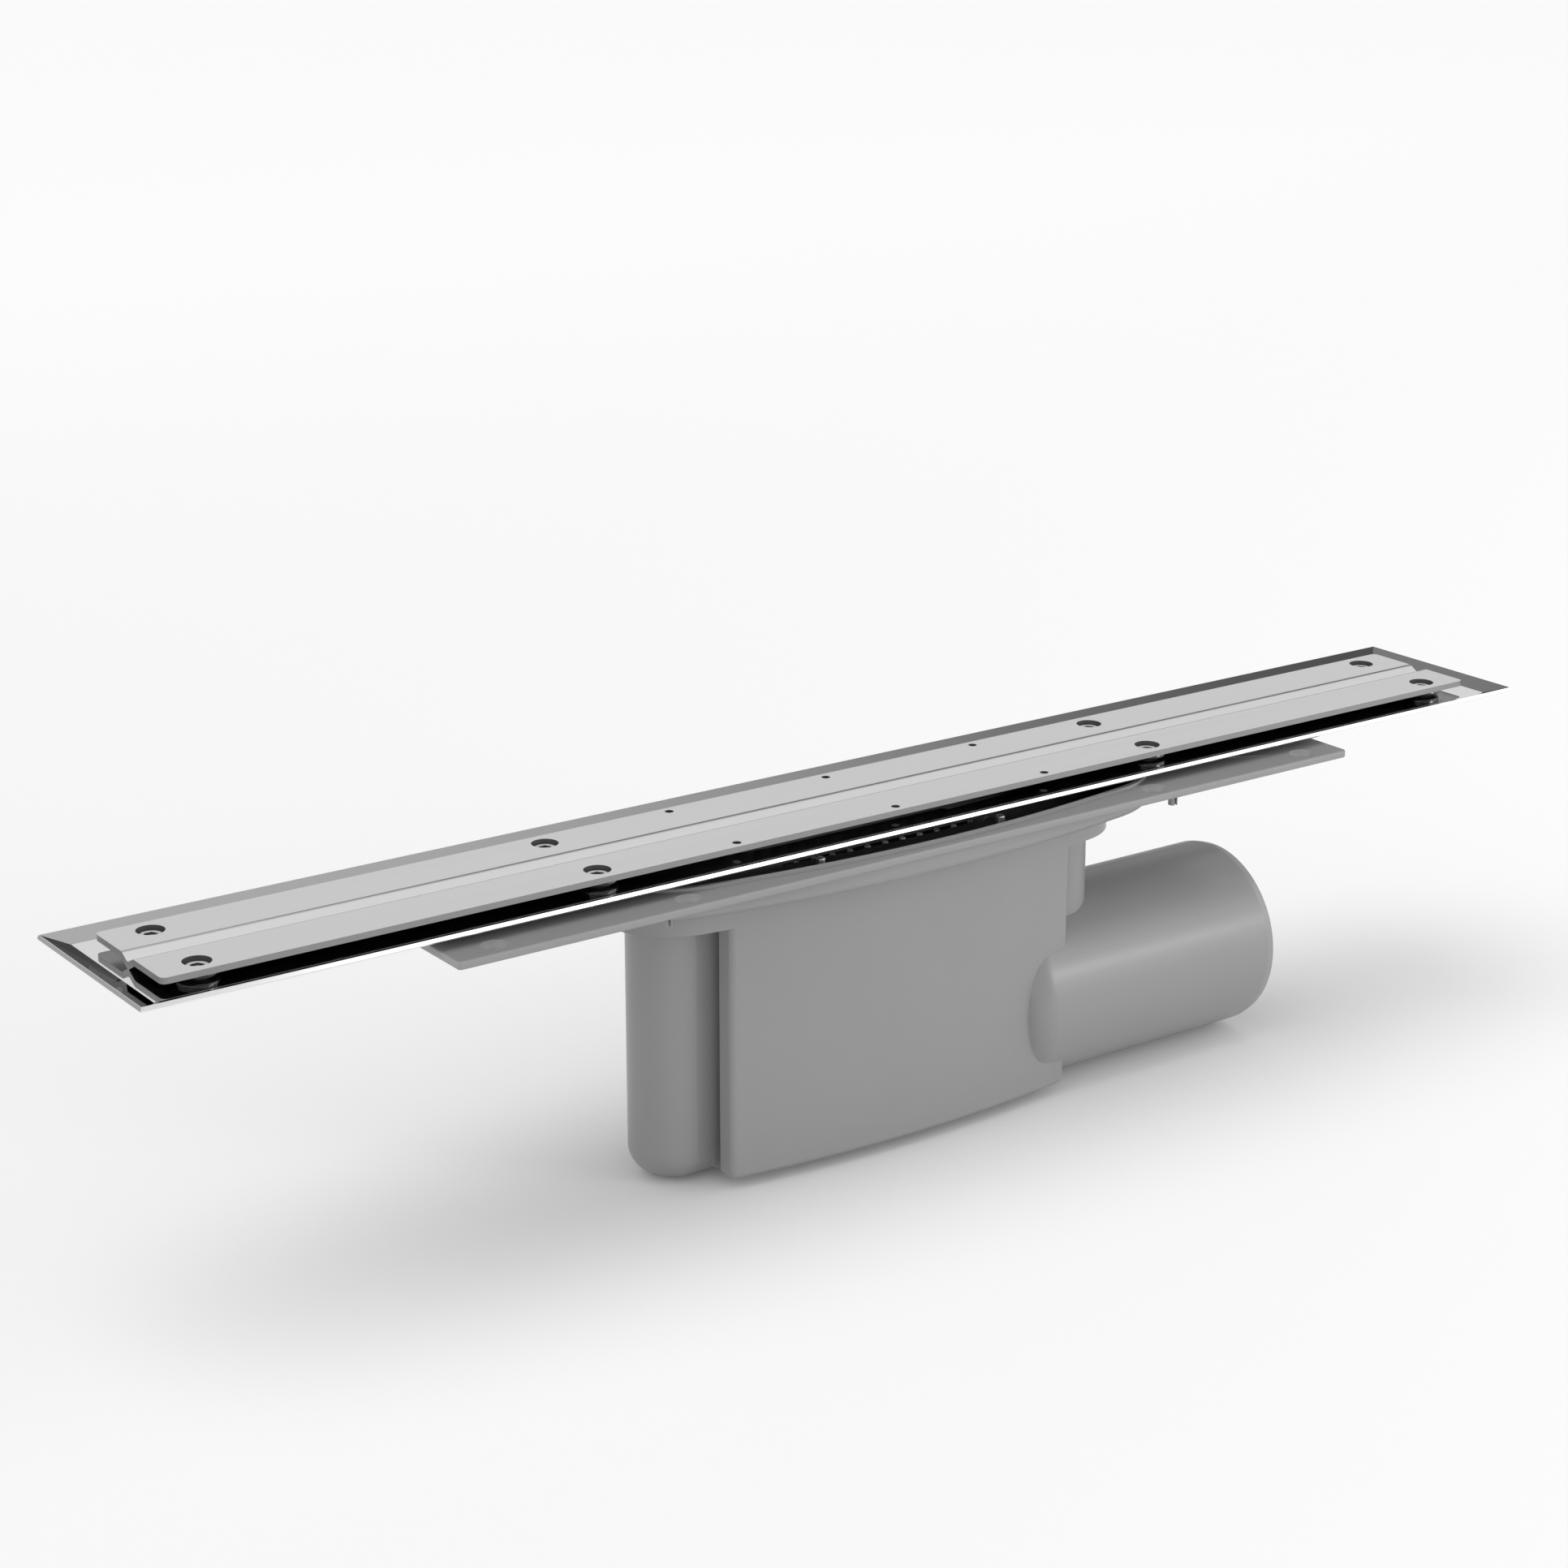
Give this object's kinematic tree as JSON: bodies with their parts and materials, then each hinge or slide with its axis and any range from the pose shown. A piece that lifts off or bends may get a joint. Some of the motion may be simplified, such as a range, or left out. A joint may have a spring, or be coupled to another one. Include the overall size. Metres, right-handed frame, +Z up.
{
  "type": "linear shower drain",
  "caption": "Slim linear shower drain: stainless pan with a folded V-rib cover on levelling screws, over a flanged siphon with a drop-in water trap, hair strainer and side outlet spigot.",
  "frame": {"origin": "on the ground under the middle of the drain, in the plane of the trap's flat foot", "axes": "+X along the channel towards the outlet spigot, +Y across the channel, +Z up"},
  "size_m": [0.4126, 0.0688, 0.0877],
  "materials": {
    "polished_steel": "mirror polished",
    "brushed_steel": "fine brushed along the channel",
    "fastener_steel": "plain bright",
    "grey_plastic": "satin moulded",
    "black_plastic": "satin moulded",
    "seal_rubber": "matte"
  },
  "bodies": {
    "root": {"frame_tray": "polished_steel", "cover_plate": "brushed_steel", "cover_bushes": "black_plastic", "levelling_screws": "fastener_steel", "inlet_flange": "grey_plastic", "trap_body": "grey_plastic", "insert_seal": "seal_rubber", "trap_insert": "black_plastic", "strainer_plate": "black_plastic", "strainer_pins": "fastener_steel", "lifting_posts": "fastener_steel"}
  },
  "joints": []
}
